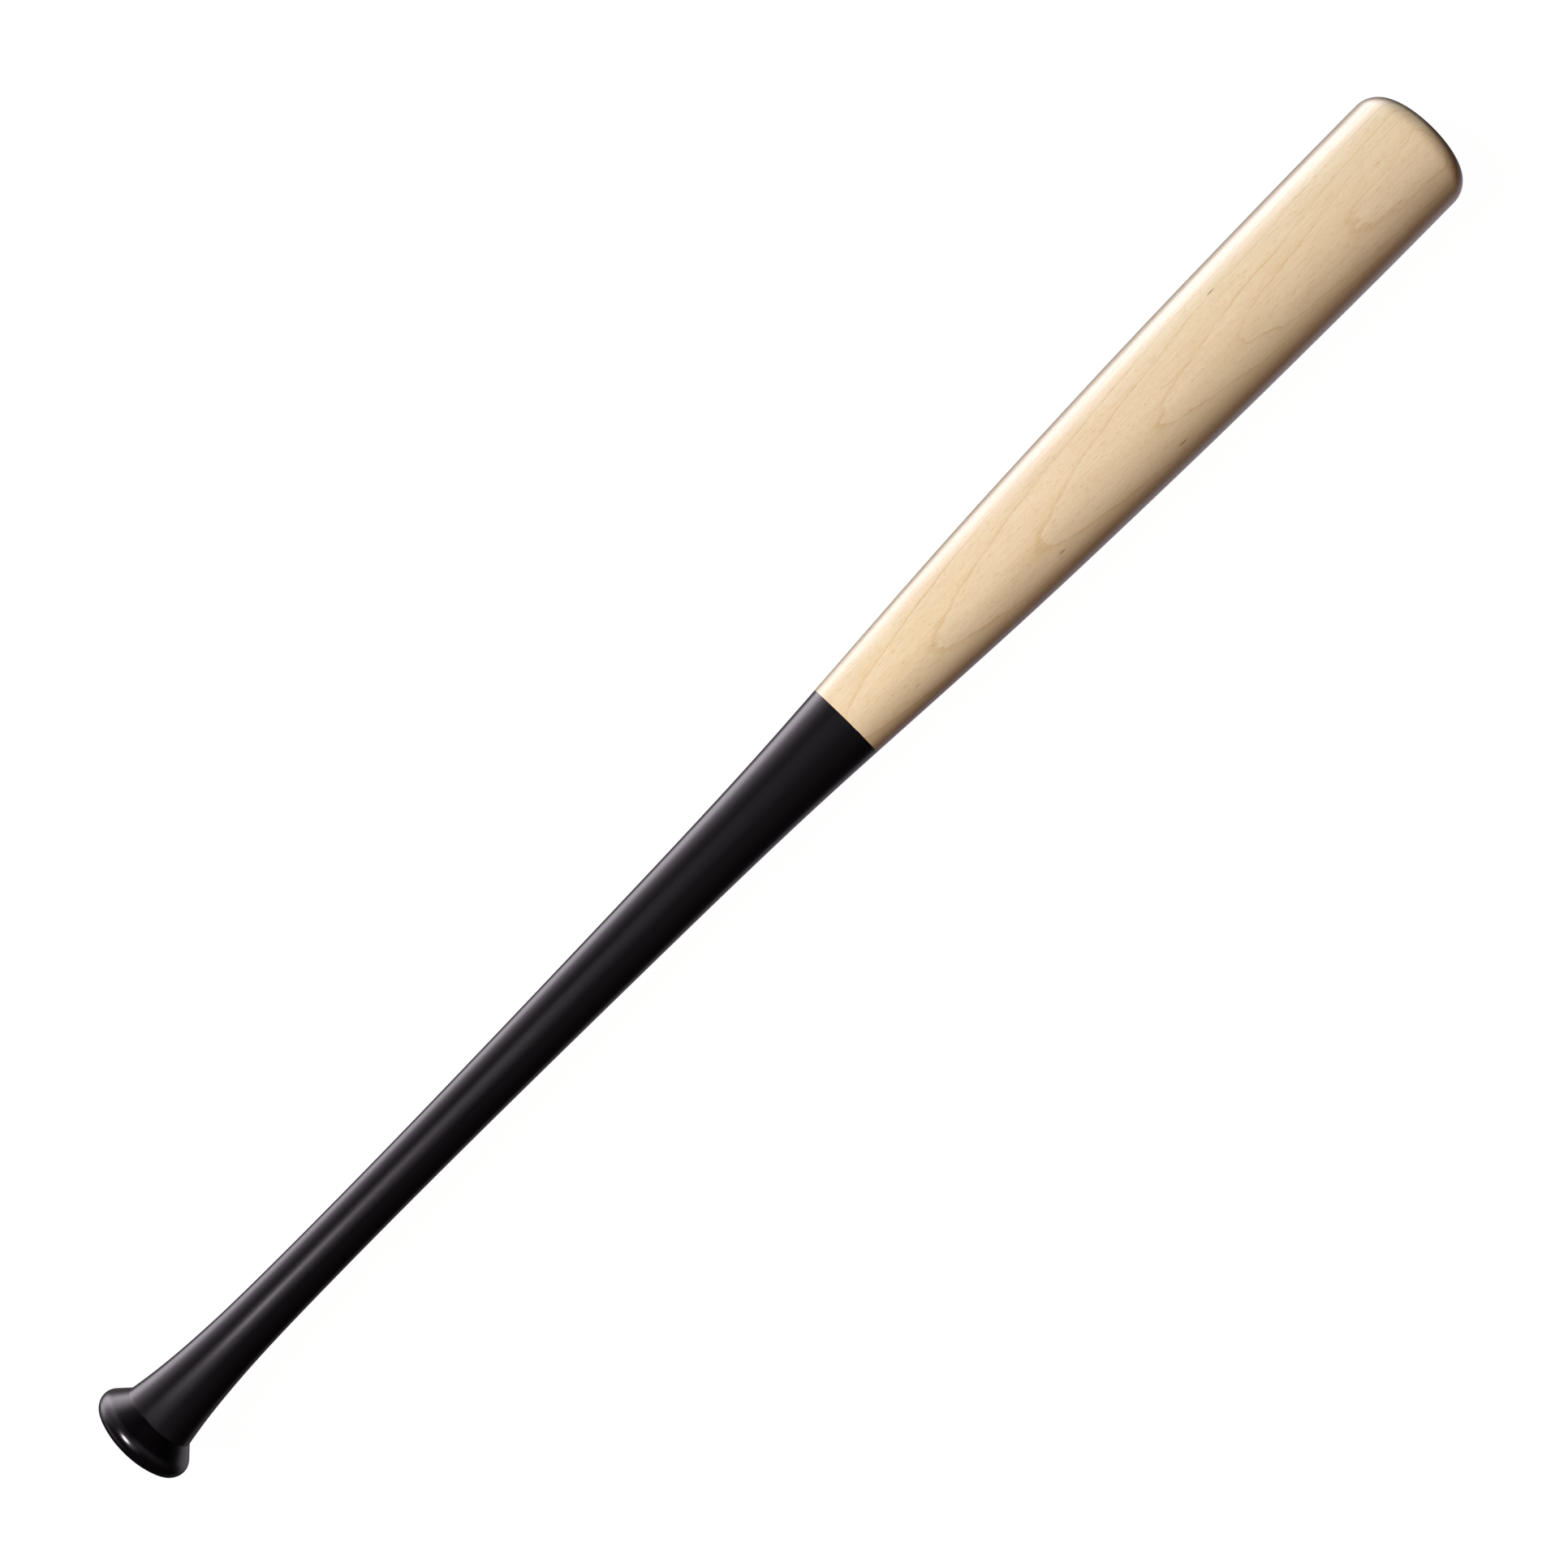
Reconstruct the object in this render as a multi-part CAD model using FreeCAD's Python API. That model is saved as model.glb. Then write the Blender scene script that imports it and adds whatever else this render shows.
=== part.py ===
"""A 33 inch wood baseball bat, lathe-turned in one piece from a hard maple billet.

The handle and knob are dipped in black lacquer and the barrel in clear lacquer.
The two dips meet edge to edge at the dip line and together cover the whole billet.

Frame, in millimetres: the bat's axis is X, from the knob to the barrel, with the origin at the
centre of the knob's end face. Z is up for a bat that lies down.
"""
import FreeCAD, Part
import math
import os

from FreeCAD import Vector

# Overall
LENGTH = 33 * 25.4
DIP_LINE = 464.4            # from the knob end to the edge between the black and the clear dip
COAT = 0.15                 # thickness of each lacquer coat

# Knob, from its end face to the crease where the handle's flare begins
KNOB_RADIUS = 25.5
KNOB_FLAT_RADIUS = 7.5      # the end is sanded flat where it was cut from the lathe
KNOB_CROWN_ARC = 31.5
KNOB_FRONT_ARC = 6.5
KNOB_BACK_ARC = 5.7
KNOB_FLANK_ANGLE = 42.0     # degrees from the axis
CREASE_RADIUS = 18.6
CREASE_ARC = 1.2
FLARE_ANGLE = 10.0          # degrees from the axis, where the flare leaves the crease

# The turner's stations: distance from the knob end, finished diameter
STATIONS = [
    (32, 32.8), (48, 29.4), (70, 26.6), (100, 25.1), (140, 24.6), (190, 25.1),
    (250, 26.8), (320, 29.5), (380, 32.4), (430, 36.2), (470, 40.8), (510, 45.8),
    (560, 51.4), (620, 56.2), (690, 60.2), (750, 62.0),
]

# Barrel
BARREL_RADIUS = 31.4
BARREL_STRAIGHT_START = 800.0   # from here to the corner the barrel is a true cylinder
END_CORNER_ARC = 10.9
END_CROWN_ARC = 260.0
END_FLAT_RADIUS = 8.0       # sanded flat like the knob's end


def point(x, radius):
    """A point of the half section, which is drawn in the XZ plane above the axis."""
    return Vector(x, 0, radius)


def direction(angle):
    """Unit vector at an angle in degrees below the axis, looking from the knob to the barrel."""
    return Vector(math.cos(math.radians(angle)), 0, -math.sin(math.radians(angle)))


def outward(angle):
    """Unit normal, away from the axis, of a surface that runs along direction(angle)."""
    return Vector(math.sin(math.radians(angle)), 0, math.cos(math.radians(angle)))


def line(start, end):
    return Part.LineSegment(start, end).toShape()


def arc(centre, radius, start_angle, end_angle):
    """Arc whose surface runs along direction(angle), from one such angle to another.

    A negative radius gives a hollow arc, with its centre outside the wood.
    """
    angles = (start_angle, (start_angle + end_angle) / 2, end_angle)
    return Part.Arc(*(centre + outward(a) * radius for a in angles)).toShape()


def crowned_end(rim_radius, corner_arc, crown_arc, flat_radius):
    """How a crowned end meets its rounded corner: the rim's depth behind the end's flat face, and
    the angle in degrees that the corner arc turns through before it runs into the crown."""
    centres_apart = crown_arc - corner_arc
    rise = rim_radius - corner_arc - flat_radius
    rim_depth = crown_arc - math.sqrt(centres_apart**2 - rise**2)
    return rim_depth, math.degrees(math.acos(rise / centres_apart))


def knob_edges(inset):
    """The knob from the centre of its end to the crease, inset below the finished surface."""
    rim_x, corner_turn = crowned_end(
        KNOB_RADIUS, KNOB_FRONT_ARC, KNOB_CROWN_ARC, KNOB_FLAT_RADIUS
    )
    crown_centre = point(KNOB_CROWN_ARC, KNOB_FLAT_RADIUS)
    front_centre = point(rim_x, KNOB_RADIUS - KNOB_FRONT_ARC)
    back_centre = point(rim_x, KNOB_RADIUS - KNOB_BACK_ARC)
    flank_start = back_centre + outward(KNOB_FLANK_ANGLE) * KNOB_BACK_ARC
    flank_length = (flank_start.z - CREASE_RADIUS) / math.sin(math.radians(KNOB_FLANK_ANGLE))
    flank_end = flank_start + direction(KNOB_FLANK_ANGLE) * flank_length
    crease_centre = flank_end + outward(KNOB_FLANK_ANGLE) * CREASE_ARC
    lowered = outward(KNOB_FLANK_ANGLE) * -inset

    return [
        line(point(inset, 0), point(inset, KNOB_FLAT_RADIUS)),
        arc(crown_centre, KNOB_CROWN_ARC - inset, -90, -corner_turn),
        arc(front_centre, KNOB_FRONT_ARC - inset, -corner_turn, 0),
        arc(back_centre, KNOB_BACK_ARC - inset, 0, KNOB_FLANK_ANGLE),
        line(flank_start + lowered, flank_end + lowered),
        arc(crease_centre, -CREASE_ARC - inset, KNOB_FLANK_ANGLE, FLARE_ANGLE),
    ]


def taper_edges(start, inset):
    """One smooth curve from the crease, down to the grip and up to the straight barrel.

    It is split at the dip line into two runs of edges, and at the stations into edges, so that the
    inner and outer faces of a thin coat change at the same places and mesh alike.
    """
    stations = [point(x, diameter / 2 - inset) for x, diameter in STATIONS]
    end = point(BARREL_STRAIGHT_START, BARREL_RADIUS - inset)
    curve = Part.BSplineCurve()
    curve.interpolate(
        Points=[start, *stations, end],
        InitialTangent=direction(FLARE_ANGLE), FinalTangent=direction(0),
    )
    dip_at = curve.intersect(Part.Plane(point(DIP_LINE, 0), Vector(1, 0, 0)))[0][0]
    dip = curve.parameter(Vector(dip_at.X, dip_at.Y, dip_at.Z))
    stops = [curve.FirstParameter, dip, curve.LastParameter]
    stops = sorted(stops + [curve.parameter(station) for station in stations])
    edges = [curve.toShape(low, high) for low, high in zip(stops, stops[1:])]
    return edges[: stops.index(dip)], edges[stops.index(dip) :]


def barrel_end_edges(inset):
    """The straight barrel, its rounded corner and its crowned end, inset like the knob."""
    rim_depth, corner_turn = crowned_end(
        BARREL_RADIUS, END_CORNER_ARC, END_CROWN_ARC, END_FLAT_RADIUS
    )
    corner_x = LENGTH - rim_depth
    side_radius = BARREL_RADIUS - inset
    corner_centre = point(corner_x, BARREL_RADIUS - END_CORNER_ARC)
    crown_centre = point(LENGTH - END_CROWN_ARC, END_FLAT_RADIUS)
    return [
        line(point(BARREL_STRAIGHT_START, side_radius), point(corner_x, side_radius)),
        arc(corner_centre, END_CORNER_ARC - inset, 0, corner_turn),
        arc(crown_centre, END_CROWN_ARC - inset, corner_turn, 90),
        line(point(LENGTH - inset, END_FLAT_RADIUS), point(LENGTH - inset, 0)),
    ]


def half_outline(inset):
    """Edges of the half outline on each side of the dip line, inset below the finished surface."""
    knob = knob_edges(inset)
    handle_taper, barrel_taper = taper_edges(knob[-1].Vertexes[-1].Point, inset)
    return knob + handle_taper, barrel_taper + barrel_end_edges(inset)


def ends_of(edges):
    """First and last point of a run of edges, each drawn from the knob towards the barrel."""
    return edges[0].Vertexes[0].Point, edges[-1].Vertexes[-1].Point


def turned(edges):
    """The solid that a closed half section sweeps in one turn about the bat's axis."""
    wire = Part.Wire(Part.__sortEdges__(edges))
    solid = Part.Face(wire).revolve(Vector(0, 0, 0), Vector(1, 0, 0), 360)
    if not solid.isValid() or not wire.isClosed():
        raise ValueError("a half section doesn't close")
    return solid


def maple_billet():
    """The whole turned bat in bare wood."""
    handle_side, barrel_side = half_outline(COAT)
    axis_line = line(point(COAT, 0), point(LENGTH - COAT, 0))
    return turned(handle_side + barrel_side + [axis_line])


def dip_coat(outer, inner):
    """A lacquer coat between the finished surface and the wood."""
    outer_start, outer_end = ends_of(outer)
    inner_start, inner_end = ends_of(inner)
    caps = [line(outer_start, inner_start), line(outer_end, inner_end)]
    return turned(outer + inner + caps)


finished_handle, finished_barrel = half_outline(0)
bare_handle, bare_barrel = half_outline(COAT)

parts = {
    "maple_billet": maple_billet(),
    "handle_lacquer": dip_coat(finished_handle, bare_handle),
    "barrel_lacquer": dip_coat(finished_barrel, bare_barrel),
}

os.makedirs("parts", exist_ok=True)
for name, shape in parts.items():
    shape.exportStep("parts/" + name + ".step")
    print(name, round(shape.Volume / 1000, 2), "cm3", shape.BoundBox)
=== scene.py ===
"""The looks of a 33 inch wood baseball bat, built around its CAD frame.

One lathe outline is swept into three pieces: the bare maple billet, the black dip on the handle
and the clear dip on the barrel. Everything is in metres in the CAD's frame: X runs along the bat
from the knob's end face, and Z is up for a bat that lies down.
"""

import math

import bmesh
import bpy
import numpy as np
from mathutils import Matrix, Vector


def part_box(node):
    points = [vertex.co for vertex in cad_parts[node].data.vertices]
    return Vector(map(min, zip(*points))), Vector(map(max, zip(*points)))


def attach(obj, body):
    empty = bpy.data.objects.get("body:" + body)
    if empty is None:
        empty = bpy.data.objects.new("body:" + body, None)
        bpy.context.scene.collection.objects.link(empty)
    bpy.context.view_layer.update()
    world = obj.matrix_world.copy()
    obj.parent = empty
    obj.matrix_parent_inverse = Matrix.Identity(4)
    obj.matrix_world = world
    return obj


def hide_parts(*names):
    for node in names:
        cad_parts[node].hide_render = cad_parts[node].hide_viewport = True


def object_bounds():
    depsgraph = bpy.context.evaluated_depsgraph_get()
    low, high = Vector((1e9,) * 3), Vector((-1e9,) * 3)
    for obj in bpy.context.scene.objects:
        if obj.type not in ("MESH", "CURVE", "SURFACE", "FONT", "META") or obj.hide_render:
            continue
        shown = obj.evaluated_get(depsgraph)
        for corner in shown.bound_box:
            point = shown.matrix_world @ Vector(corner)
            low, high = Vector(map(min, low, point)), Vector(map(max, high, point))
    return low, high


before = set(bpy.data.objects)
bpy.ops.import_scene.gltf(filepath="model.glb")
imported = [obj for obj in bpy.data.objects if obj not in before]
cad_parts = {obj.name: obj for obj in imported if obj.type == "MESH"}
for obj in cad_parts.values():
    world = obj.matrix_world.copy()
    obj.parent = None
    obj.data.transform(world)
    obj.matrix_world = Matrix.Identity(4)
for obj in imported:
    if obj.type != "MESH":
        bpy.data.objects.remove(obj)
cad_low, cad_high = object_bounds()

MM = 0.001

# The turned shape. Overall sizes come from the frame, and the rest repeats the CAD's dimensions.
LENGTH = cad_high.x
BARREL_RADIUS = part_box("barrel_lacquer")[1].y
KNOB_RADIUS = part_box("handle_lacquer")[1].y
DIP_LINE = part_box("handle_lacquer")[1].x
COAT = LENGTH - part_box("maple_billet")[1].x

KNOB_FLAT_RADIUS = 7.5 * MM
KNOB_CROWN_ARC = 31.5 * MM
KNOB_FRONT_ARC = 6.5 * MM
KNOB_BACK_ARC = 5.7 * MM
KNOB_FLANK_ANGLE = math.radians(42)
CREASE_RADIUS = 18.6 * MM
CREASE_ARC = 1.2 * MM
FLARE_ANGLE = math.radians(10)
BARREL_STRAIGHT_START = 800 * MM
END_CORNER_ARC = 10.9 * MM
END_CROWN_ARC = 260 * MM
END_FLAT_RADIUS = 8 * MM

# The turner's stations in millimetres: distance from the knob end, finished diameter
STATIONS = [
    (32, 32.8), (48, 29.4), (70, 26.6), (100, 25.1), (140, 24.6), (190, 25.1),
    (250, 26.8), (320, 29.5), (380, 32.4), (430, 36.2), (470, 40.8), (510, 45.8),
    (560, 51.4), (620, 56.2), (690, 60.2), (750, 62.0),
]

# How finely a piece is turned: the gap between rings on the taper, and the points round each ring
TAPER_SPACING = 3 * MM
AROUND = 160
ON_AXIS = 1e-7
SHARP_TURN = math.radians(50)

FLOOR_HEIGHT = cad_low.z
CAMERA_PLACE = (0.4243, 0, 1.330)
CAMERA_ROLL = math.radians(-45.4)
CAMERA_LENS = 67.02
CAMERA_SENSOR = 36


# ---------------------------------------------------------------- the lathe outline


def along(angle):
    """Unit vector along the outline, at an angle below the axis. Outlines are (x, radius) pairs."""
    return np.array([math.cos(angle), -math.sin(angle)])


def outward(angle):
    """Unit normal of an outline that runs along(angle), away from the axis."""
    return np.array([math.sin(angle), math.cos(angle)])


def arc(centre, radius, start_angle, end_angle, steps):
    """Points of an arc; a negative radius gives a hollow one."""
    angles = np.linspace(start_angle, end_angle, steps)
    return [np.array(centre) + outward(a) * radius for a in angles]


def straight(start, end, steps):
    """Evenly spaced points of a straight run."""
    return [np.array(start) * (1 - t) + np.array(end) * t for t in np.linspace(0, 1, steps)]


def smooth_curve(x, y, start_slope, end_slope, at):
    """Values at the given places of the cubic spline through the points, its end slopes set."""
    h = np.diff(x)
    rise = np.diff(y)
    count = len(x)
    matrix = np.eye(count)
    right = np.zeros(count)
    right[0] = start_slope
    right[-1] = end_slope
    for i in range(1, count - 1):
        matrix[i, i - 1 : i + 2] = 1 / h[i - 1], 2 / h[i - 1] + 2 / h[i], 1 / h[i]
        right[i] = 3 * (rise[i - 1] / h[i - 1] ** 2 + rise[i] / h[i] ** 2)
    slope = np.linalg.solve(matrix, right)
    k = np.clip(np.searchsorted(x, at) - 1, 0, count - 2)
    t = (at - x[k]) / h[k]
    return (
        y[k] * (1 + 2 * t) * (1 - t) ** 2
        + y[k + 1] * t**2 * (3 - 2 * t)
        + slope[k] * h[k] * t * (1 - t) ** 2
        - slope[k + 1] * h[k] * t**2 * (1 - t)
    )


def crowned_end(rim_radius, corner_arc, crown_arc, flat_radius):
    """How a crowned end meets its rounded corner: the rim's depth behind the end's flat face, and
    the angle that the corner arc turns through before it runs into the crown."""
    centres_apart = crown_arc - corner_arc
    rise = rim_radius - corner_arc - flat_radius
    rim_depth = crown_arc - math.sqrt(centres_apart**2 - rise**2)
    return rim_depth, math.acos(rise / centres_apart)


def knob_outline(inset):
    """The knob, from the centre of its end to the crease."""
    rim_x, corner_turn = crowned_end(
        KNOB_RADIUS, KNOB_FRONT_ARC, KNOB_CROWN_ARC, KNOB_FLAT_RADIUS
    )
    quarter = math.radians(90)
    crown_centre = (KNOB_CROWN_ARC, KNOB_FLAT_RADIUS)
    front_centre = (rim_x, KNOB_RADIUS - KNOB_FRONT_ARC)
    back_centre = np.array([rim_x, KNOB_RADIUS - KNOB_BACK_ARC])
    flank_start = back_centre + outward(KNOB_FLANK_ANGLE) * KNOB_BACK_ARC
    flank_length = (flank_start[1] - CREASE_RADIUS) / math.sin(KNOB_FLANK_ANGLE)
    flank_end = flank_start + along(KNOB_FLANK_ANGLE) * flank_length
    crease_centre = flank_end + outward(KNOB_FLANK_ANGLE) * CREASE_ARC
    lowered = outward(KNOB_FLANK_ANGLE) * -inset
    return (
        straight((inset, 0), (inset, KNOB_FLAT_RADIUS), steps=6)[:-1]
        + arc(crown_centre, KNOB_CROWN_ARC - inset, -quarter, -corner_turn, steps=14)[:-1]
        + arc(front_centre, KNOB_FRONT_ARC - inset, -corner_turn, 0, steps=12)[:-1]
        + arc(back_centre, KNOB_BACK_ARC - inset, 0, KNOB_FLANK_ANGLE, steps=14)[:-1]
        + straight(flank_start + lowered, flank_end + lowered, steps=12)[:-1]
        + arc(crease_centre, -CREASE_ARC - inset, KNOB_FLANK_ANGLE, FLARE_ANGLE, steps=8)
    )


def taper_outline(start, inset):
    """The flare, grip and taper, from the crease to the straight barrel, split at the dip line."""
    x = np.array([start[0], *(place * MM for place, _ in STATIONS), BARREL_STRAIGHT_START])
    r = np.array([diameter * MM / 2 for _, diameter in STATIONS])
    r = np.array([start[1], *(r - inset), BARREL_RADIUS - inset])
    halves = []
    for low, high in ((x[0], DIP_LINE), (DIP_LINE, x[-1])):
        at = np.linspace(low, high, round((high - low) / TAPER_SPACING))
        radii = smooth_curve(x, r, -math.tan(FLARE_ANGLE), 0, at)
        halves.append(list(np.column_stack([at, radii])))
    return halves


def barrel_end_outline(inset):
    """The straight barrel, its rounded corner and its crowned end, out to the axis."""
    rim_depth, corner_turn = crowned_end(
        BARREL_RADIUS, END_CORNER_ARC, END_CROWN_ARC, END_FLAT_RADIUS
    )
    quarter = math.radians(90)
    corner = (LENGTH - rim_depth, BARREL_RADIUS - END_CORNER_ARC)
    crown_centre = (LENGTH - END_CROWN_ARC, END_FLAT_RADIUS)
    side = BARREL_RADIUS - inset
    return (
        straight((BARREL_STRAIGHT_START, side), (corner[0], side), steps=8)[1:-1]
        + arc(corner, END_CORNER_ARC - inset, 0, corner_turn, steps=20)[:-1]
        + arc(crown_centre, END_CROWN_ARC - inset, corner_turn, quarter, steps=6)[:-1]
        + straight((LENGTH - inset, END_FLAT_RADIUS), (LENGTH - inset, 0), steps=6)
    )


def outline(inset):
    """The bat's half outline on each side of the dip line, inset below the finished surface."""
    knob = knob_outline(inset)
    handle, barrel = taper_outline(knob[-1], inset)
    return knob[:-1] + handle, barrel + barrel_end_outline(inset)


finished_handle, finished_barrel = outline(0)
bare_handle, bare_barrel = outline(COAT)


# ---------------------------------------------------------------- turning an outline into a piece


def turned_piece(name, points):
    """A closed mesh swept from (x, radius) points, which start and end on the axis.

    A coat's points run out along its finished face and back along the wood.
    """
    turns = [2 * math.pi * k / AROUND for k in range(AROUND)]
    bm = bmesh.new()
    rings = []
    for x, radius in points:
        if radius < ON_AXIS:
            rings.append([bm.verts.new((x, 0, 0))] * AROUND)
            continue
        rings.append([bm.verts.new((x, radius * math.sin(a), radius * math.cos(a))) for a in turns])
    for ring, following in zip(rings, rings[1:]):
        for k in range(AROUND):
            j = (k + 1) % AROUND
            corners = [ring[k], following[k], following[j], ring[j]]
            # beside the axis two corners are one, and the face is a triangle
            bm.faces.new(list(dict.fromkeys(corners)))
    bmesh.ops.recalc_face_normals(bm, faces=bm.faces)
    mesh = bpy.data.meshes.new(name)
    bm.to_mesh(mesh)
    bm.free()
    mesh.shade_smooth()
    # only a coat's cut edge at the dip line turns by more than this
    mesh.set_sharp_from_angle(angle=SHARP_TURN)
    piece = bpy.data.objects.new(name, mesh)
    bpy.context.scene.collection.objects.link(piece)
    return piece


# ---------------------------------------------------------------- material helpers


def linear(hex_colour):
    """An sRGB hex colour as linear RGBA."""
    parts = [int(hex_colour[i : i + 2], 16) / 255 for i in (1, 3, 5)]
    return (*(c / 12.92 if c <= 0.04045 else ((c + 0.055) / 1.055) ** 2.4 for c in parts), 1)


def add(tree, kind, settings=None, **links):
    """Adds a node. settings holds its properties, and links its inputs: a value or a socket.

    An input is named by its label with _ for a space, or by i and its number.
    """
    node = tree.nodes.new(kind)
    for key, value in (settings or {}).items():
        setattr(node, key, value)
    for key, value in links.items():
        numbered = key[0] == "i" and key[1:].isdigit()
        socket = node.inputs[int(key[1:])] if numbered else node.inputs[key.replace("_", " ")]
        if isinstance(value, bpy.types.NodeSocket):
            tree.links.new(value, socket)
        else:
            socket.default_value = value
    return node


def new_material(name):
    """A material with no nodes yet, and its tree."""
    material = bpy.data.materials.new(name)
    material.use_nodes = True
    material.node_tree.nodes.clear()
    return material, material.node_tree


def draw_curve(node, spots):
    """Sets a Float Curve node's line to the given (place, value) spots, from 0 to 1."""
    curve = node.mapping.curves[0]
    curve.points[0].location = spots[0]
    curve.points[-1].location = spots[-1]
    for spot in spots[1:-1]:
        curve.points.new(*spot)
    node.mapping.update()


def place_in_mm(tree):
    """Where a point of the piece is, in millimetres in the bat's own frame."""
    place = add(tree, "ShaderNodeTexCoord").outputs["Object"]
    scaled = add(tree, "ShaderNodeVectorMath", {"operation": "SCALE"}, i0=place, Scale=1 / MM)
    return scaled.outputs[0]


def grainy(tree, place, lengths, edges=None, levels=(0.0, 1.0), detail=2.0, roughness=0.5):
    """Noise from 0 to 1 over a place in mm, with grains of the given lengths in mm on each axis.

    With edges, the noise is taken from those two values to the two levels, and held beyond them.
    """
    shrunk = add(tree, "ShaderNodeMapping", Vector=place, Scale=[1 / length for length in lengths])
    noise = add(
        tree, "ShaderNodeTexNoise",
        Vector=shrunk.outputs[0], Scale=1.0, Detail=detail, Roughness=roughness,
    )
    if edges is None:
        return noise.outputs[0]
    spread = add(
        tree, "ShaderNodeMapRange", Value=noise.outputs[0],
        From_Min=edges[0], From_Max=edges[1], To_Min=levels[0], To_Max=levels[1],
    )
    return spread.outputs[0]


# ---------------------------------------------------------------- maple

# The trunk's pith runs well below the bat, so the growth rings lie nearly flat and surface on top
# as arches that point at the handle. The grain climbs slightly along the bat.
FACE_GRAIN_TURN = math.radians(-13)
PITH_DEPTH_MM = 95.0
GRAIN_SLOPE = 0.03
SLOPE_FROM_MM = 500
# The height above the axis in mm where a count of growth rings ends. The rings between are even
RING_ENDS = [
    (-40, -12), (-12, -5), (6, -2), (13.2, -1.5), (18.2, -1), (24.2, 0), (29.3, 1), (34.3, 2),
    (36.75, 3), (39.7, 4), (50, 7),
]
RING_SPAN_MM = RING_ENDS[-1][0] - RING_ENDS[0][0]
RING_COUNT = RING_ENDS[-1][1] - RING_ENDS[0][1]

# How a ring tints the wood through its year: the share of the year gone, and the tint
RING_TINTS = [
    (0.0, "#FFFFFF"), (0.30, "#FFFEFC"), (0.80, "#FDFBF7"), (0.91, "#FAF6EE"), (0.955, "#F1E6D5"),
    (0.985, "#F1E5D3"), (1.0, "#F6EFE4"),
]

# Mineral flecks: distance from the knob end in mm, degrees from the top towards the far side (+Y),
# length in mm and strength
FLECKS = [
    (715, 38, 6.5, 0.8), (586, -36, 5, 0.75), (659, -43, 7, 0.8), (498, -32, 4, 0.4),
    (640, 150, 6, 0.7), (760, -140, 5, 0.6), (545, 205, 5, 0.6),
]
FLECK_WIDTH_MM = 1.05


def ring_season(tree, log):
    """How far through its year each bit of wood grew, from 0 in spring to 1."""
    x, y, z = add(tree, "ShaderNodeSeparateXYZ", i0=log).outputs

    # distance from the pith, less the pith's depth: a height that the rings follow
    from_pith = add(tree, "ShaderNodeMath", {"operation": "ADD"}, i0=z, i1=PITH_DEPTH_MM)
    across = add(tree, "ShaderNodeCombineXYZ", X=0.0, Y=y, Z=from_pith.outputs[0])
    reach = add(tree, "ShaderNodeVectorMath", {"operation": "LENGTH"}, i0=across.outputs[0])
    climb = add(
        tree, "ShaderNodeMath", {"operation": "MULTIPLY_ADD"},
        i0=x, i1=GRAIN_SLOPE, i2=-GRAIN_SLOPE * SLOPE_FROM_MM - PITH_DEPTH_MM,
    )
    height = add(
        tree, "ShaderNodeMath", {"operation": "ADD"}, i0=reach.outputs["Value"], i1=climb.outputs[0]
    )

    # the grain waves by about a millimetre over 60 mm, and by less over 10 mm
    slow = grainy(tree, log, (60, 16, 16), (0.25, 0.75), (-0.55, 0.55))
    quick = grainy(tree, log, (11, 4, 4), (0.25, 0.75), (-0.22, 0.22), detail=3.0)
    waves = add(tree, "ShaderNodeMath", {"operation": "ADD"}, i0=slow, i1=quick)
    height = add(
        tree, "ShaderNodeMath", {"operation": "ADD"}, i0=height.outputs[0], i1=waves.outputs[0]
    )

    share = add(
        tree, "ShaderNodeMapRange",
        Value=height.outputs[0], From_Min=RING_ENDS[0][0], From_Max=RING_ENDS[-1][0],
    )
    years = add(tree, "ShaderNodeFloatCurve", Value=share.outputs[0])
    draw_curve(years, [
        ((mm - RING_ENDS[0][0]) / RING_SPAN_MM, (ring - RING_ENDS[0][1]) / RING_COUNT)
        for mm, ring in RING_ENDS
    ])
    count = add(
        tree, "ShaderNodeMath", {"operation": "MULTIPLY"}, i0=years.outputs[0], i1=float(RING_COUNT)
    )
    return add(tree, "ShaderNodeMath", {"operation": "FRACT"}, i0=count.outputs[0]).outputs[0]


def fleck_darkness(tree, in_mm):
    """Short mineral streaks that lie along the grain, from 0 for clear wood to their strength."""
    outline_x, outline_radius = np.array(finished_handle + finished_barrel).T / MM
    darkest = 0.0
    for x, degrees, length, strength in FLECKS:
        radius = float(np.interp(x, outline_x, outline_radius))
        turn = math.radians(degrees)
        centre = (x, radius * math.sin(turn), radius * math.cos(turn))
        away = add(tree, "ShaderNodeVectorMath", {"operation": "SUBTRACT"}, i0=in_mm, i1=centre)
        reach = add(
            tree, "ShaderNodeVectorMath", {"operation": "MULTIPLY"},
            i0=away.outputs[0], i1=(2 / length, 2 / FLECK_WIDTH_MM, 2 / FLECK_WIDTH_MM),
        )
        distance = add(tree, "ShaderNodeVectorMath", {"operation": "LENGTH"}, i0=reach.outputs[0])
        mark = add(
            tree, "ShaderNodeMapRange", Value=distance.outputs["Value"],
            From_Min=0.35, From_Max=1.0, To_Min=strength, To_Max=0.0,
        )
        darkest = add(
            tree, "ShaderNodeMath", {"operation": "MAXIMUM"}, i0=darkest, i1=mark.outputs[0]
        ).outputs[0]
    return darkest


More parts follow.
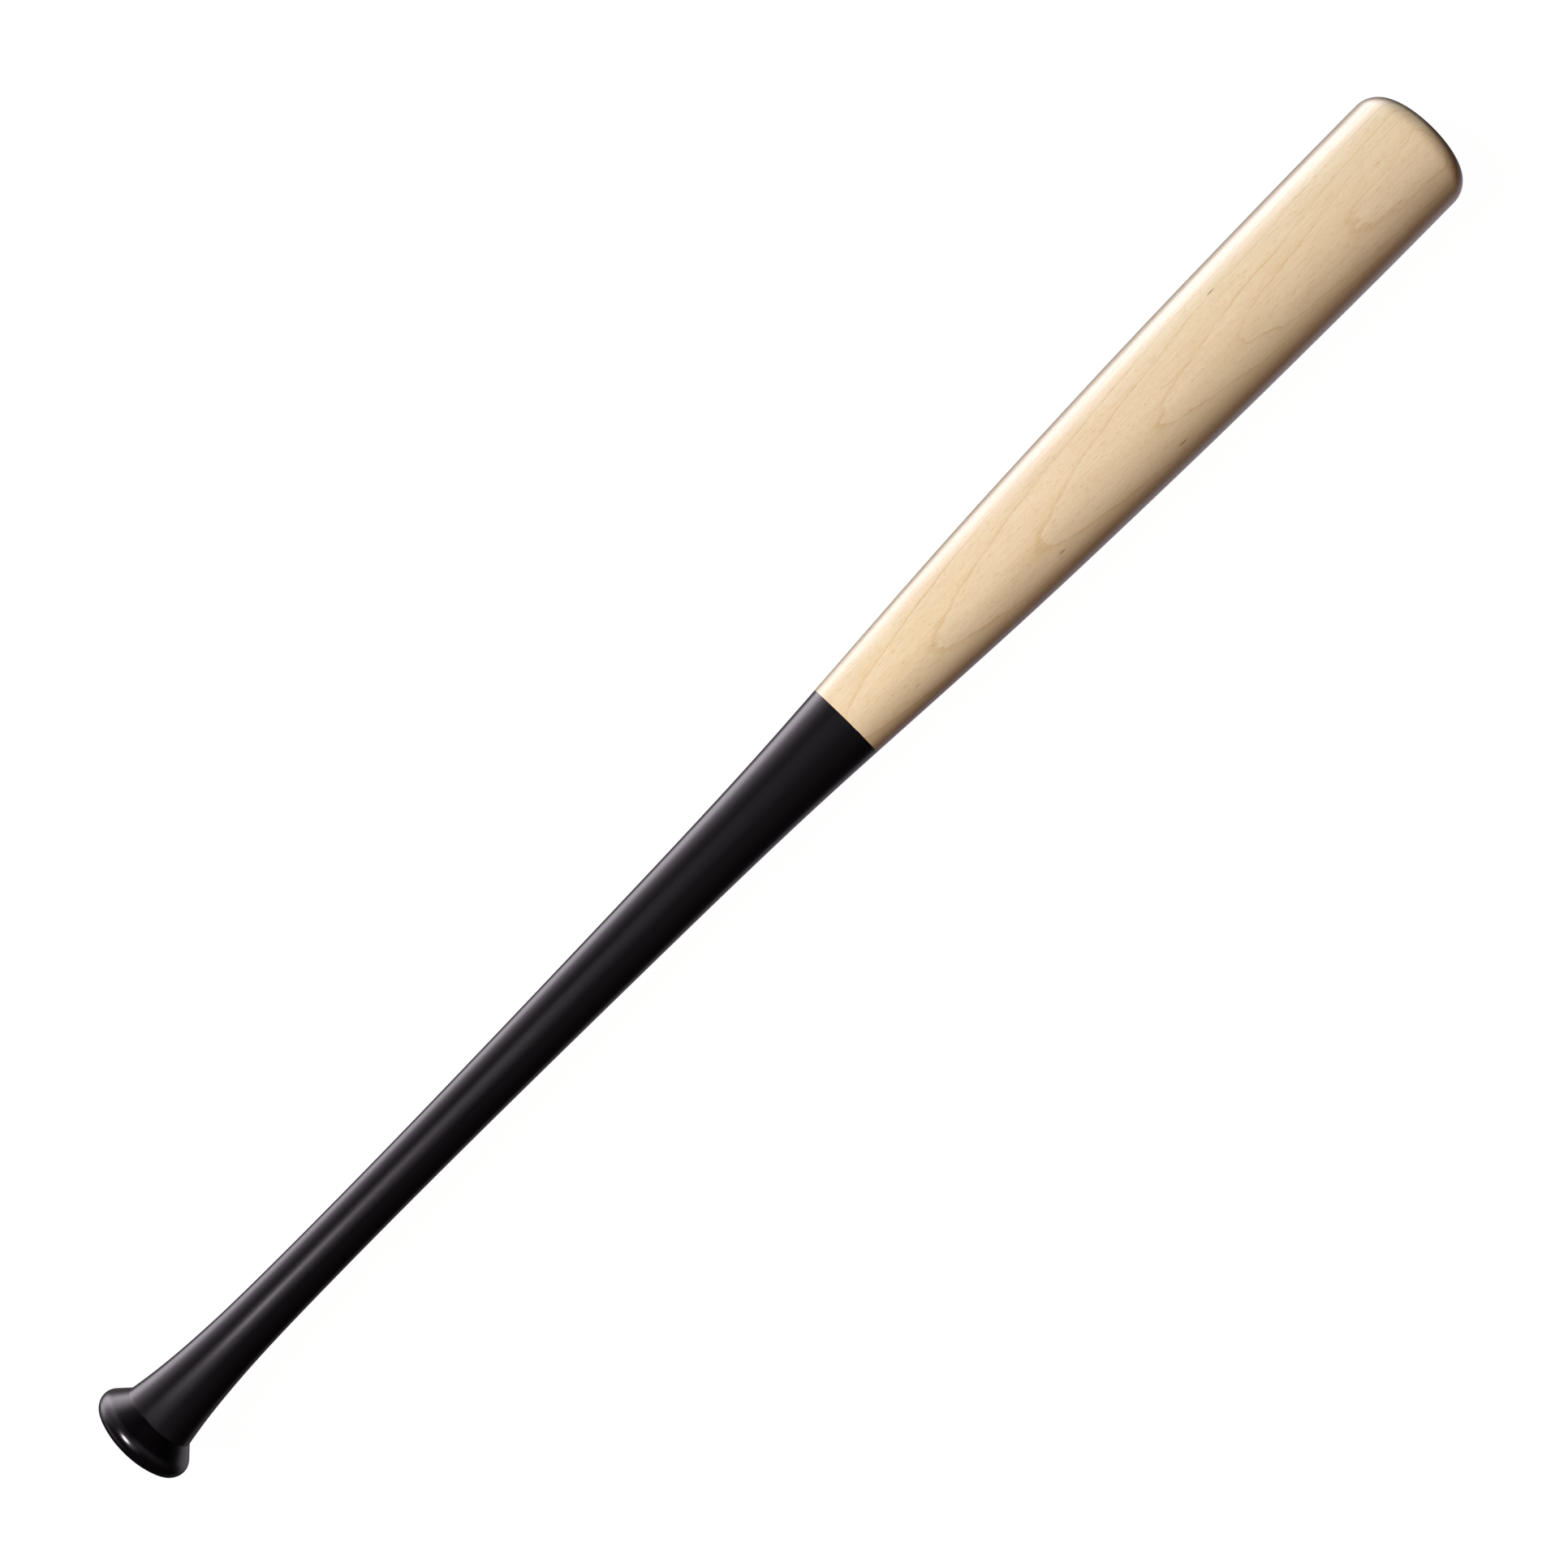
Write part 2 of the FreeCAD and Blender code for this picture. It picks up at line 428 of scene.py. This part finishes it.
def maple(tree):
    """Hard maple as a solid pattern that the bat is turned from: its colour and its pore depth."""
    in_mm = place_in_mm(tree)
    log = add(
        tree, "ShaderNodeVectorRotate", {"rotation_type": "X_AXIS"},
        Vector=in_mm, Angle=FACE_GRAIN_TURN,
    ).outputs[0]

    # cream sapwood that drifts between yellower and pinker over a hand's length
    drift = grainy(tree, log, (180, 26, 26), (0.3, 0.7))
    wood = add(
        tree, "ShaderNodeMix", {"data_type": "RGBA"},
        i0=drift, i6=linear("#E9E2C4"), i7=linear("#E9DFC5"),
    ).outputs[2]

    # each ring: even wood, a yellower band late in the year, then a thin tan line. The lines come
    # and go along the bat, as maple's do
    rings = add(tree, "ShaderNodeValToRGB", i0=ring_season(tree, log))
    stops = rings.color_ramp.elements
    stops[0].color = linear(RING_TINTS[0][1])
    stops[-1].color = linear(RING_TINTS[-1][1])
    for position, colour in RING_TINTS[1:-1]:
        stops.new(position).color = linear(colour)
    ring_show = grainy(tree, log, (45, 12, 12), (0.35, 0.65), (0.35, 1.0))

    # mottling and silky streaks, then ray flecks and pores. Maple's rays and pores are about 0.1 mm
    # wide, so both are drawn some three times as wide, to show at all
    mottle = grainy(tree, log, (26, 7, 7), (0.3, 0.7), detail=3.0)
    streaks = grainy(tree, log, (70, 0.9, 0.9), (0.38, 0.66), detail=3.0, roughness=0.6)
    rays = grainy(tree, log, (3.2, 0.35, 2.0), (0.60, 0.72), (0.0, 0.6), detail=1.0)
    pores = grainy(tree, log, (7.0, 0.3, 0.3), (0.67, 0.76), detail=1.0)
    tints = [
        (rings.outputs[0], ring_show),
        (linear("#FAF7F3"), mottle),
        (linear("#FAF7F1"), streaks),
        (linear("#EADCC6"), rays),
        (linear("#E6D6BE"), pores),
        (linear("#AC7844"), fleck_darkness(tree, in_mm)),
    ]
    for tint, share in tints:
        wood = add(
            tree, "ShaderNodeMix", {"data_type": "RGBA", "blend_type": "MULTIPLY"},
            i0=share, i6=wood, i7=tint,
        ).outputs[2]
    return wood, pores, in_mm


def clear_lacquered_maple():
    """Hard maple under a dipped clear lacquer: cream wood below a deep, slightly rippled gloss."""
    material, tree = new_material("clear_lacquer_over_hard_maple")
    colour, pores, in_mm = maple(tree)

    # sanded fibres scatter a little unevenly, and the lacquer has sunk into the pores
    sanding = grainy(tree, in_mm, (30, 1.5, 1.5), (0.3, 0.7), (0.42, 0.55))
    sunk = add(tree, "ShaderNodeBump", {"invert": True}, Strength=0.3, Distance=4e-6, Height=pores)

    # a dipped coat levels to a faint orange peel, and its gloss varies by a touch
    peel = grainy(tree, in_mm, (7, 5, 5), detail=1.0)
    rippled = add(tree, "ShaderNodeBump", Strength=0.5, Distance=6e-6, Height=peel)
    gloss = grainy(tree, in_mm, (50, 20, 20), (0.3, 0.7), (0.15, 0.19), detail=3.0)
    shader = add(
        tree, "ShaderNodeBsdfPrincipled",
        Base_Color=colour, Roughness=sanding, IOR=1.45, Specular_IOR_Level=0.2,
        Normal=sunk.outputs[0],
        Coat_Weight=1.0, Coat_Roughness=gloss, Coat_IOR=1.5, Coat_Normal=rippled.outputs[0],
    )
    add(tree, "ShaderNodeOutputMaterial", Surface=shader.outputs[0])
    return material


def bare_maple():
    """Hard maple sanded along the grain before the dip: dry, matt and faintly scratched."""
    material, tree = new_material("sanded_hard_maple")
    colour, pores, in_mm = maple(tree)

    # the scratches of fine paper run along the bat, drawn wide enough to show
    scratches = grainy(tree, in_mm, (25, 0.2, 0.2))
    relief = add(
        tree, "ShaderNodeMath", {"operation": "MULTIPLY_ADD"}, i0=pores, i1=-1.0, i2=scratches
    )
    bump = add(tree, "ShaderNodeBump", Strength=0.5, Distance=2e-5, Height=relief.outputs[0])
    dryness = add(
        tree, "ShaderNodeMapRange", Value=scratches,
        From_Min=0.3, From_Max=0.7, To_Min=0.55, To_Max=0.7,
    ).outputs[0]
    shader = add(
        tree, "ShaderNodeBsdfPrincipled",
        Base_Color=colour, Roughness=dryness, IOR=1.5, Normal=bump.outputs[0],
    )
    add(tree, "ShaderNodeOutputMaterial", Surface=shader.outputs[0])
    return material


def black_lacquer():
    """Black pigmented lacquer, dipped and left to level: ink black with a long soft gloss."""
    material, tree = new_material("dipped_black_lacquer")
    in_mm = place_in_mm(tree)

    # carbon black with a trace of violet, thinner in places by a shade
    cover = grainy(tree, in_mm, (120, 30, 30), (0.3, 0.7), detail=3.0)
    colour = add(
        tree, "ShaderNodeMix", {"data_type": "RGBA"},
        i0=cover, i6=linear("#09080B"), i7=linear("#0C0A0E"),
    ).outputs[2]

    # orange peel with the grain just telegraphing through it, and a few nibs of dust
    peel = grainy(tree, in_mm, (6, 4, 4), detail=1.0)
    grain = grainy(tree, in_mm, (45, 0.8, 0.8))
    nibs = grainy(tree, in_mm, (1.6, 1.6, 1.6), (0.80, 0.86), (0.0, 2.5), detail=0.0)
    relief = add(tree, "ShaderNodeMath", {"operation": "MULTIPLY_ADD"}, i0=grain, i1=0.25, i2=peel)
    relief = add(tree, "ShaderNodeMath", {"operation": "ADD"}, i0=relief.outputs[0], i1=nibs)
    bump = add(tree, "ShaderNodeBump", Strength=0.5, Distance=8e-6, Height=relief.outputs[0])
    gloss = grainy(tree, in_mm, (40, 15, 15), (0.3, 0.7), (0.12, 0.17), detail=3.0)
    shader = add(
        tree, "ShaderNodeBsdfPrincipled",
        Base_Color=colour, Roughness=gloss, IOR=1.5, Normal=bump.outputs[0],
    )
    add(tree, "ShaderNodeOutputMaterial", Surface=shader.outputs[0])
    return material


# ---------------------------------------------------------------- the studio

TABLE_HALF_WIDTH = 6.0


def light_table():
    """The pale floor: white acrylic that glows from below, so that the bat casts no hard shadow."""
    mesh = bpy.data.meshes.new("light_table")
    signs = [(-1, -1), (1, -1), (1, 1), (-1, 1)]
    corners = [(x * TABLE_HALF_WIDTH, y * TABLE_HALF_WIDTH, 0) for x, y in signs]
    mesh.from_pydata(corners, [], [(0, 1, 2, 3)])
    table = bpy.data.objects.new("light_table", mesh)
    table.location = (LENGTH / 2, 0, FLOOR_HEIGHT)
    bpy.context.scene.collection.objects.link(table)
    material, tree = new_material("back_lit_white_acrylic")
    shader = add(
        tree, "ShaderNodeBsdfPrincipled",
        Base_Color=(0.04, 0.04, 0.04, 1), Roughness=0.9, Specular_IOR_Level=0.0,
        Emission_Color=(1, 1, 1, 1), Emission_Strength=0.99,
    )
    add(tree, "ShaderNodeOutputMaterial", Surface=shader.outputs[0])
    mesh.materials.append(material)
    table.visible_diffuse = False
    table.visible_glossy = False
    table.visible_shadow = False


# Each soft panel's name, the way to it from the bat's middle, its distance and width in metres,
# the brightness that it gives a white surface turned towards it, and its colour
PANELS = [
    ("key_panel", (-0.6, 0.52, 1.0), 4.0, 1.5, 1.10, "#FFFFFF"),
    ("amber_panel", (-0.4, 0.06, 1.0), 4.0, 1.5, 0.27, "#FFA840"),
    ("under_panel", (0.6, -0.45, -0.8), 2.2, 1.0, 0.14, "#FFE8CC"),
    ("under_panel_far", (-0.6, 0.5, -0.8), 2.2, 1.0, 0.14, "#FFE8CC"),
]


def panel(name, direction, distance, size, level, colour):
    """A soft light panel that faces the bat's middle. It lights colours, and no gloss shows it."""
    lamp = bpy.data.lights.new(name, "AREA")
    lamp.shape = "DISK"
    lamp.size = size
    # power / (pi * distance)**2 is the brightness of a white surface that faces the lamp
    lamp.energy = level * math.pi**2 * distance**2
    lamp.color = linear(colour)[:3]
    holder = bpy.data.objects.new(name, lamp)
    way = Vector(direction).normalized()
    holder.location = Vector((LENGTH / 2, 0, 0)) + way * distance
    holder.rotation_mode = "QUATERNION"
    holder.rotation_quaternion = way.to_track_quat("Z", "Y")
    holder.visible_glossy = False
    holder.visible_camera = False
    bpy.context.scene.collection.objects.link(holder)


SOFTBOX_PLACE = (-0.67, 0.52, 1.5)
SOFTBOX_SIDES = 64
# Brightness of the softbox by the distance from its centre in metres
SOFTBOX_GLOW = [
    (0, 36), (0.18, 29), (0.3, 13), (0.39, 4.2), (0.48, 1.6), (0.61, 0.9), (0.73, 0.55),
    (0.84, 0.36), (0.95, 0.2), (1.15, 0.05), (1.3, 0),
]


def knob_softbox():
    """A round softbox over the knob, hot in the middle, that only the gloss shows."""
    radius = SOFTBOX_GLOW[-1][0]
    turns = [2 * math.pi * k / SOFTBOX_SIDES for k in range(SOFTBOX_SIDES)]
    corners = [(radius * math.cos(a), radius * math.sin(a), 0) for a in turns]
    mesh = bpy.data.meshes.new("knob_softbox")
    mesh.from_pydata(corners, [], [list(range(SOFTBOX_SIDES))])
    softbox = bpy.data.objects.new("knob_softbox", mesh)
    softbox.location = SOFTBOX_PLACE
    bpy.context.scene.collection.objects.link(softbox)

    material, tree = new_material("softbox_diffuser_cloth")
    place = add(tree, "ShaderNodeTexCoord").outputs["Object"]
    out = add(tree, "ShaderNodeVectorMath", {"operation": "LENGTH"}, i0=place)
    share = add(tree, "ShaderNodeMapRange", Value=out.outputs["Value"], From_Max=radius)
    glow = add(tree, "ShaderNodeFloatCurve", Value=share.outputs[0])
    hottest = SOFTBOX_GLOW[0][1]
    draw_curve(glow, [(reach / radius, level / hottest) for reach, level in SOFTBOX_GLOW])
    strength = add(
        tree, "ShaderNodeMath", {"operation": "MULTIPLY"}, i0=glow.outputs[0], i1=float(hottest)
    )
    light = add(tree, "ShaderNodeEmission", Color=linear("#FFF6FF"), Strength=strength.outputs[0])
    open_air = add(tree, "ShaderNodeBsdfTransparent")
    both = add(tree, "ShaderNodeAddShader", i0=light.outputs[0], i1=open_air.outputs[0])
    add(tree, "ShaderNodeOutputMaterial", Surface=both.outputs[0])
    mesh.materials.append(material)
    softbox.visible_camera = False
    softbox.visible_diffuse = False
    softbox.visible_shadow = False
    softbox.visible_transmission = False


# Brightness of the cloth that the lacquer mirrors, by the turn in degrees from straight up towards
# the far side (+Y)
TENT = [
    (-180, 0.06), (-166, 0.11), (-156, 0.14), (-146, 0.13), (-138, 0.14), (-124, 0.04),
    (-106, 0.014), (-74, 0.024), (-48, 0.05), (-24, 0.07), (0, 0.14), (30, 0.25), (46, 0.4),
    (60, 0.74), (74, 1.7), (88, 3.2), (106, 7.5), (114, 8.9), (124, 8.0), (134, 4.9), (144, 1.15),
    (152, 0.4), (165, 0.3), (180, 0.1),
]


def light_tent():
    """The soft surroundings, seen only in the gloss; behind the bat the camera sees plain white."""
    world = bpy.data.worlds.new("light_tent")
    bpy.context.scene.world = world
    world.use_nodes = True
    tree = world.node_tree
    tree.nodes.clear()
    way = add(tree, "ShaderNodeTexCoord").outputs["Generated"]
    x, y, z = add(tree, "ShaderNodeSeparateXYZ", i0=way).outputs
    turn = add(tree, "ShaderNodeMath", {"operation": "ARCTAN2"}, i0=y, i1=z)
    share = add(
        tree, "ShaderNodeMapRange", Value=turn.outputs[0], From_Min=-math.pi, From_Max=math.pi
    )
    tent = add(tree, "ShaderNodeFloatCurve", Value=share.outputs[0])
    brightest = max(level for _, level in TENT)
    draw_curve(tent, [((angle + 180) / 360, level / brightest) for angle, level in TENT])

    # towards the barrel's end the cloth is bright on the near side and softer on the far one
    barrel_side = add(
        tree, "ShaderNodeMapRange", Value=y, From_Min=-0.2, From_Max=0.2, To_Min=3.6, To_Max=0.6
    ).outputs[0]
    # towards the knob it dims all round
    dimming = add(
        tree, "ShaderNodeMapRange",
        Value=x, From_Min=-0.3, From_Max=0.2, To_Min=0.37, To_Max=barrel_side,
    ).outputs[0]
    # beyond both ends of the bat the tent is open and dark
    endwise = add(tree, "ShaderNodeMath", {"operation": "ABSOLUTE"}, i0=x).outputs[0]
    opening = add(
        tree, "ShaderNodeMapRange",
        Value=endwise, From_Min=0.42, From_Max=0.75, To_Min=1.0, To_Max=0.12,
    ).outputs[0]
    level = brightest
    for factor in (tent.outputs[0], dimming, opening):
        level = add(
            tree, "ShaderNodeMath", {"operation": "MULTIPLY"}, i0=level, i1=factor
        ).outputs[0]
    cloth = add(tree, "ShaderNodeBackground", Color=linear("#FFF3FF"), Strength=level)
    plain = add(tree, "ShaderNodeBackground", Color=(1, 1, 1, 1), Strength=1.0)
    seen = add(tree, "ShaderNodeLightPath").outputs["Is Camera Ray"]
    either = add(tree, "ShaderNodeMixShader", i0=seen, i1=cloth.outputs[0], i2=plain.outputs[0])
    add(tree, "ShaderNodeOutputWorld", Surface=either.outputs[0])
    world.cycles_visibility.diffuse = False


def camera():
    """Looks straight down at the bat, rolled so that the knob is low on the left."""
    data = bpy.data.cameras.new("camera")
    data.lens = CAMERA_LENS
    data.sensor_width = CAMERA_SENSOR
    data.clip_start = 0.05
    data.clip_end = 50
    holder = bpy.data.objects.new("camera", data)
    holder.location = CAMERA_PLACE
    holder.rotation_euler = (0, 0, CAMERA_ROLL)
    bpy.context.scene.collection.objects.link(holder)
    bpy.context.scene.camera = holder


# ---------------------------------------------------------------- build

billet = turned_piece("maple_billet_turned", bare_handle + bare_barrel[1:])
billet.data.materials.append(bare_maple())
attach(billet, "root")
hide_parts("maple_billet")

handle_dip = turned_piece("handle_black_dip", finished_handle + bare_handle[::-1])
handle_dip.data.materials.append(black_lacquer())
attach(handle_dip, "root")
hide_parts("handle_lacquer")

barrel_dip = turned_piece("barrel_clear_dip", bare_barrel[::-1] + finished_barrel)
barrel_dip.data.materials.append(clear_lacquered_maple())
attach(barrel_dip, "root")
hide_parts("barrel_lacquer")

light_table()
for settings in PANELS:
    panel(*settings)
knob_softbox()
light_tent()
camera()
bpy.context.scene.view_settings.view_transform = "Standard"
